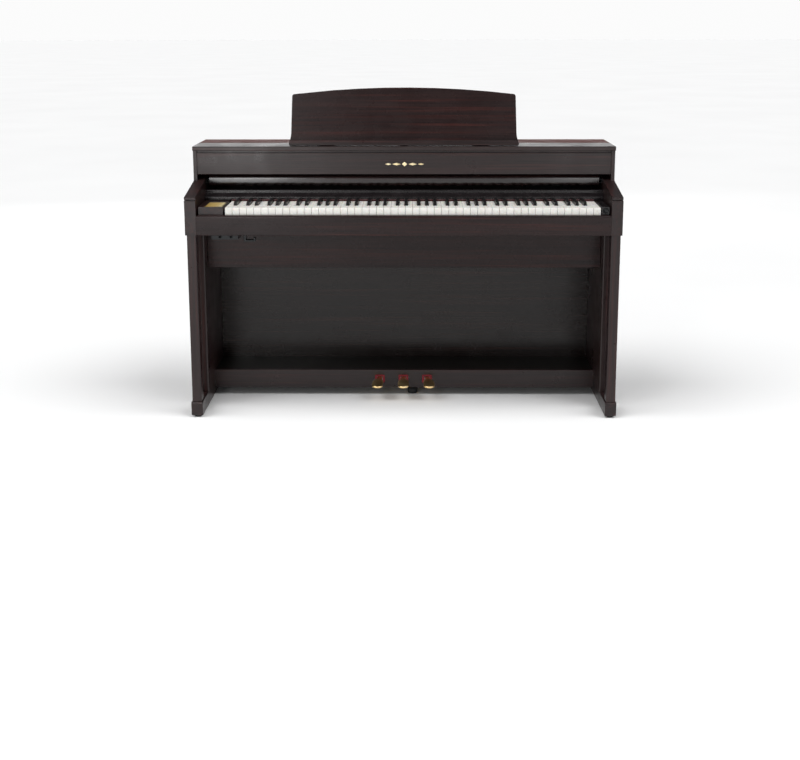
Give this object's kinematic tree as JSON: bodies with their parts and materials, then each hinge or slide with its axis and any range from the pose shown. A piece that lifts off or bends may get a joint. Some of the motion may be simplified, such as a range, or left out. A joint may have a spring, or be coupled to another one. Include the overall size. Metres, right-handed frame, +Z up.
{
  "type": "digital piano on stand",
  "caption": "Upright digital piano on a closed-back stand, with weighted keys, a sliding key cover, a folding music rest and foot pedals.",
  "frame": {"origin": "centre of the whole piano's box, on the floor", "axes": "+X along the keyboard towards the treble, -Y towards the player, +Z up"},
  "size_m": [1.4224, 0.458, 1.0807],
  "materials": {
    "rosewood": "dark rosewood veneer under satin lacquer, fine straight grain along the boards",
    "rosewood_top": "rosewood veneer under satin lacquer, redder, on the rear top board",
    "board_black": "black-brown laminate on the hidden and rear boards",
    "name_black": "satin black moulding",
    "key_white": "off-white key tops with a fine moisture-absorbing texture",
    "key_black": "matt black with a fine ebony grain",
    "steel": "zinc-plated steel",
    "control_black": "black moulded plastic",
    "display": "glass touch panel, lit amber",
    "brass": "polished brass",
    "rubber": "black rubber",
    "circuit": "green circuit board",
    "speaker": "black paper cone in a black steel basket"
  },
  "bodies": {
    "cabinet": {"side_board_left": "rosewood", "side_board_right": "rosewood", "top_board_front": "rosewood", "top_rail": "rosewood", "front_panel": "rosewood", "key_slip": "rosewood", "cheek_left": "rosewood", "speaker_front": "rosewood", "leg_left": "rosewood", "leg_right": "rosewood", "toe_left": "rosewood", "toe_right": "rosewood", "stand_side_left": "rosewood", "stand_side_right": "rosewood", "pedal_rail": "rosewood", "top_board_rear": "rosewood_top", "cabinet_back": "board_black", "keybed": "board_black", "speaker_floor": "board_black", "pedal_shelf": "board_black", "back_board": "rosewood", "name_board": "name_black", "cheek_right": "name_black", "key_frame": "steel", "rest_hinges": "steel", "pedal_bracket": "steel", "stand_screws": "steel", "fallboard_rails": "control_black", "jack_box": "control_black", "headphone_hook": "control_black", "socket_panel": "control_black", "touch_display": "display", "main_board": "circuit", "speakers": "speaker", "floor_glides": "rubber"},
    "fallboard": {"fallboard": "rosewood"},
    "music_rest": {"music_rest": "rosewood", "rest_ledge": "rosewood"},
    "rest_prop": {"rest_prop": "steel"},
    "power_button": {"power_button": "control_black"},
    "height_adjuster": {"height_adjuster": "control_black"},
    "pedal_left": {"pedal_left": "brass"},
    "pedal_middle": {"pedal_middle": "brass"},
    "pedal_right": {"pedal_right": "brass"},
    "white_keys_bass": {"white_keys_bass": "key_white"},
    "white_keys_treble": {"white_keys_treble": "key_white"},
    "white_key_c": {"white_key_c": "key_white"},
    "white_key_d": {"white_key_d": "key_white"},
    "white_key_e": {"white_key_e": "key_white"},
    "white_key_f": {"white_key_f": "key_white"},
    "white_key_g": {"white_key_g": "key_white"},
    "white_key_a": {"white_key_a": "key_white"},
    "white_key_b": {"white_key_b": "key_white"},
    "black_keys_bass": {"black_keys_bass": "key_black"},
    "black_keys_treble": {"black_keys_treble": "key_black"},
    "black_key_c_sharp": {"black_key_c_sharp": "key_black"},
    "black_key_d_sharp": {"black_key_d_sharp": "key_black"},
    "black_key_f_sharp": {"black_key_f_sharp": "key_black"},
    "black_key_g_sharp": {"black_key_g_sharp": "key_black"},
    "black_key_a_sharp": {"black_key_a_sharp": "key_black"}
  },
  "joints": [
    {"name": "fallboard_slide", "type": "slide", "parent": "cabinet", "child": "fallboard", "axis": [0, -0.9833, -0.1822], "range_m": [0, 0.201]},
    {"name": "rest_fold", "type": "hinge", "parent": "cabinet", "child": "music_rest", "pos_m": [0, -0.015, 0.8911], "axis": [-1, 0, 0], "range_deg": [0, 72]},
    {"name": "prop_swing", "type": "hinge", "parent": "music_rest", "child": "rest_prop", "pos_m": [0, 0.00592, 0.96842], "axis": [1, 0, 0], "range_deg": [0, 123]},
    {"name": "power_press", "type": "slide", "parent": "cabinet", "child": "power_button", "axis": [0, 1, 0], "range_m": [0, 0.0025], "stiffness_N_per_m": 400, "springref_m": -0.002},
    {"name": "adjuster_turn", "type": "hinge", "parent": "cabinet", "child": "height_adjuster", "pos_m": [0.03, 0.057, 0], "axis": [0, 0, 1], "continuous": true},
    {"name": "pedal_left_press", "type": "hinge", "parent": "cabinet", "child": "pedal_left", "pos_m": [0, 0.151, 0.063], "axis": [1, 0, 0], "range_deg": [0, 4.5], "stiffness_Nm_per_rad": 40, "springref_deg": -4.58},
    {"name": "pedal_middle_press", "type": "hinge", "parent": "cabinet", "child": "pedal_middle", "pos_m": [0, 0.151, 0.063], "axis": [1, 0, 0], "range_deg": [0, 4.5], "stiffness_Nm_per_rad": 40, "springref_deg": -4.58},
    {"name": "pedal_right_press", "type": "hinge", "parent": "cabinet", "child": "pedal_right", "pos_m": [0, 0.151, 0.063], "axis": [1, 0, 0], "range_deg": [0, 4.5], "stiffness_Nm_per_rad": 40, "springref_deg": -4.58},
    {"name": "white_keys_bass_press", "type": "hinge", "parent": "cabinet", "child": "white_keys_bass", "pos_m": [0, 0.021, 0.69], "axis": [1, 0, 0], "range_deg": [0, 2.5], "stiffness_Nm_per_rad": 27.6, "springref_deg": -6.88},
    {"name": "white_keys_treble_press", "type": "hinge", "parent": "cabinet", "child": "white_keys_treble", "pos_m": [0, 0.021, 0.69], "axis": [1, 0, 0], "range_deg": [0, 2.5], "stiffness_Nm_per_rad": 26.4, "springref_deg": -6.88},
    {"name": "white_key_c_press", "type": "hinge", "parent": "cabinet", "child": "white_key_c", "pos_m": [0, 0.021, 0.69], "axis": [1, 0, 0], "range_deg": [0, 2.5], "stiffness_Nm_per_rad": 1.2, "springref_deg": -6.88},
    {"name": "white_key_d_press", "type": "hinge", "parent": "cabinet", "child": "white_key_d", "pos_m": [0, 0.021, 0.69], "axis": [1, 0, 0], "range_deg": [0, 2.5], "stiffness_Nm_per_rad": 1.2, "springref_deg": -6.88},
    {"name": "white_key_e_press", "type": "hinge", "parent": "cabinet", "child": "white_key_e", "pos_m": [0, 0.021, 0.69], "axis": [1, 0, 0], "range_deg": [0, 2.5], "stiffness_Nm_per_rad": 1.2, "springref_deg": -6.88},
    {"name": "white_key_f_press", "type": "hinge", "parent": "cabinet", "child": "white_key_f", "pos_m": [0, 0.021, 0.69], "axis": [1, 0, 0], "range_deg": [0, 2.5], "stiffness_Nm_per_rad": 1.2, "springref_deg": -6.88},
    {"name": "white_key_g_press", "type": "hinge", "parent": "cabinet", "child": "white_key_g", "pos_m": [0, 0.021, 0.69], "axis": [1, 0, 0], "range_deg": [0, 2.5], "stiffness_Nm_per_rad": 1.2, "springref_deg": -6.88},
    {"name": "white_key_a_press", "type": "hinge", "parent": "cabinet", "child": "white_key_a", "pos_m": [0, 0.021, 0.69], "axis": [1, 0, 0], "range_deg": [0, 2.5], "stiffness_Nm_per_rad": 1.2, "springref_deg": -6.88},
    {"name": "white_key_b_press", "type": "hinge", "parent": "cabinet", "child": "white_key_b", "pos_m": [0, 0.021, 0.69], "axis": [1, 0, 0], "range_deg": [0, 2.5], "stiffness_Nm_per_rad": 1.2, "springref_deg": -6.88},
    {"name": "black_keys_bass_press", "type": "hinge", "parent": "cabinet", "child": "black_keys_bass", "pos_m": [0, 0.021, 0.69], "axis": [1, 0, 0], "range_deg": [0, 2.5], "stiffness_Nm_per_rad": 19.2, "springref_deg": -6.88},
    {"name": "black_keys_treble_press", "type": "hinge", "parent": "cabinet", "child": "black_keys_treble", "pos_m": [0, 0.021, 0.69], "axis": [1, 0, 0], "range_deg": [0, 2.5], "stiffness_Nm_per_rad": 18, "springref_deg": -6.88},
    {"name": "black_key_c_sharp_press", "type": "hinge", "parent": "cabinet", "child": "black_key_c_sharp", "pos_m": [0, 0.021, 0.69], "axis": [1, 0, 0], "range_deg": [0, 2.5], "stiffness_Nm_per_rad": 1.2, "springref_deg": -6.88},
    {"name": "black_key_d_sharp_press", "type": "hinge", "parent": "cabinet", "child": "black_key_d_sharp", "pos_m": [0, 0.021, 0.69], "axis": [1, 0, 0], "range_deg": [0, 2.5], "stiffness_Nm_per_rad": 1.2, "springref_deg": -6.88},
    {"name": "black_key_f_sharp_press", "type": "hinge", "parent": "cabinet", "child": "black_key_f_sharp", "pos_m": [0, 0.021, 0.69], "axis": [1, 0, 0], "range_deg": [0, 2.5], "stiffness_Nm_per_rad": 1.2, "springref_deg": -6.88},
    {"name": "black_key_g_sharp_press", "type": "hinge", "parent": "cabinet", "child": "black_key_g_sharp", "pos_m": [0, 0.021, 0.69], "axis": [1, 0, 0], "range_deg": [0, 2.5], "stiffness_Nm_per_rad": 1.2, "springref_deg": -6.88},
    {"name": "black_key_a_sharp_press", "type": "hinge", "parent": "cabinet", "child": "black_key_a_sharp", "pos_m": [0, 0.021, 0.69], "axis": [1, 0, 0], "range_deg": [0, 2.5], "stiffness_Nm_per_rad": 1.2, "springref_deg": -6.88}
  ],
  "couplings": [
    {"joint": "prop_swing", "follows": "rest_fold", "ratio": 1.7069}
  ]
}
